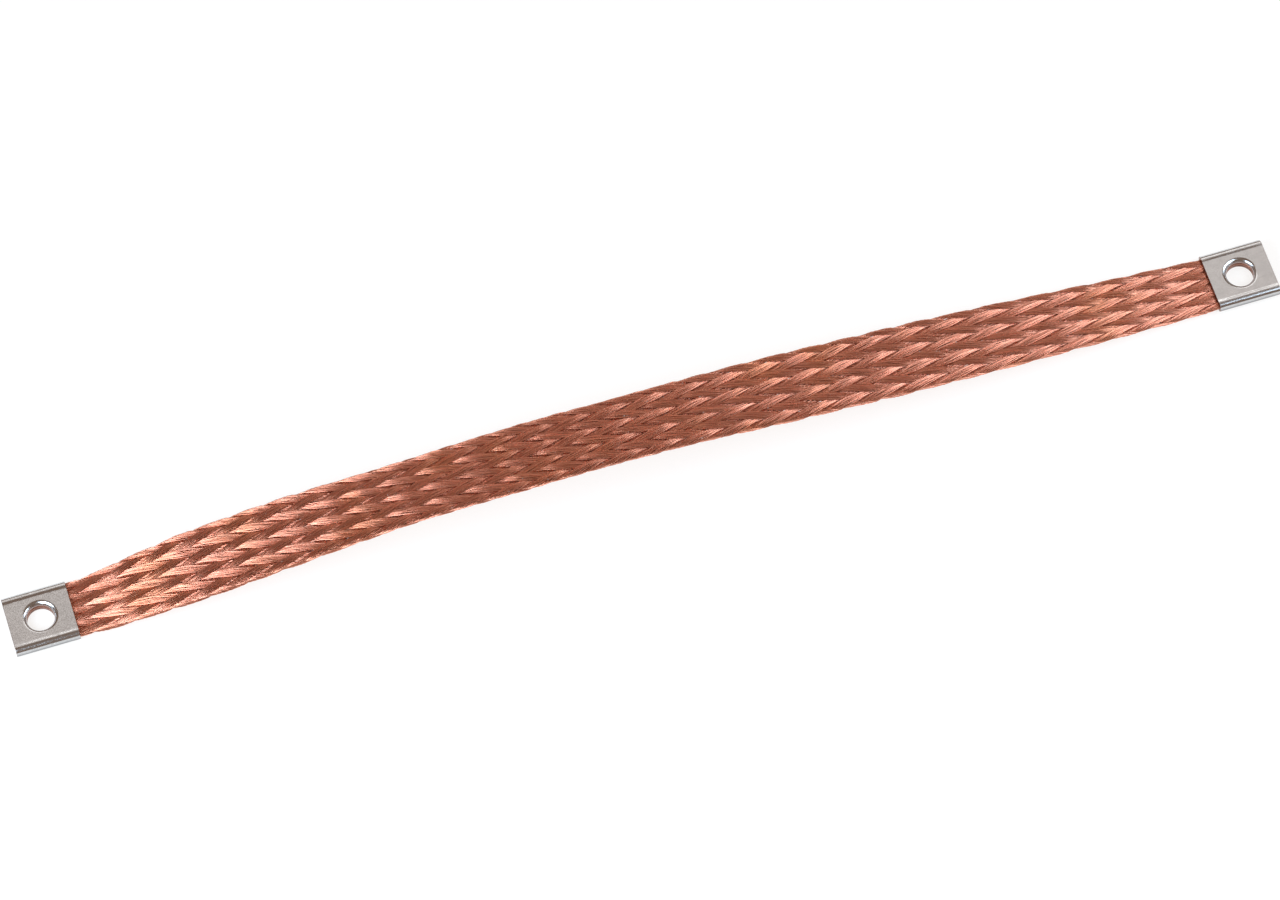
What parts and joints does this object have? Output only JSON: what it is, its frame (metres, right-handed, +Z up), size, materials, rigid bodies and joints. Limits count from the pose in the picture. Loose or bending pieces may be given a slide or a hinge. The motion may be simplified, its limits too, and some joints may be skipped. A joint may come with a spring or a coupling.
{
  "type": "grounding strap",
  "caption": "Flat bare copper braid strap with a pressed, tinned ferrule and a bolt hole at each end, lying in a low arch.",
  "frame": {"origin": "on the surface that the ferrules lie on, midway between the bolt holes", "axes": "+X along the strap to its gently sloping end, +Y across it, +Z up along the bolt holes"},
  "size_m": [0.3154, 0.0172, 0.0145],
  "materials": {
    "copper": "bare drawn wire",
    "tin": "tinned, pressed"
  },
  "bodies": {
    "root": {"copper_braid": "copper", "left_ferrule": "tin", "right_ferrule": "tin"}
  },
  "joints": []
}
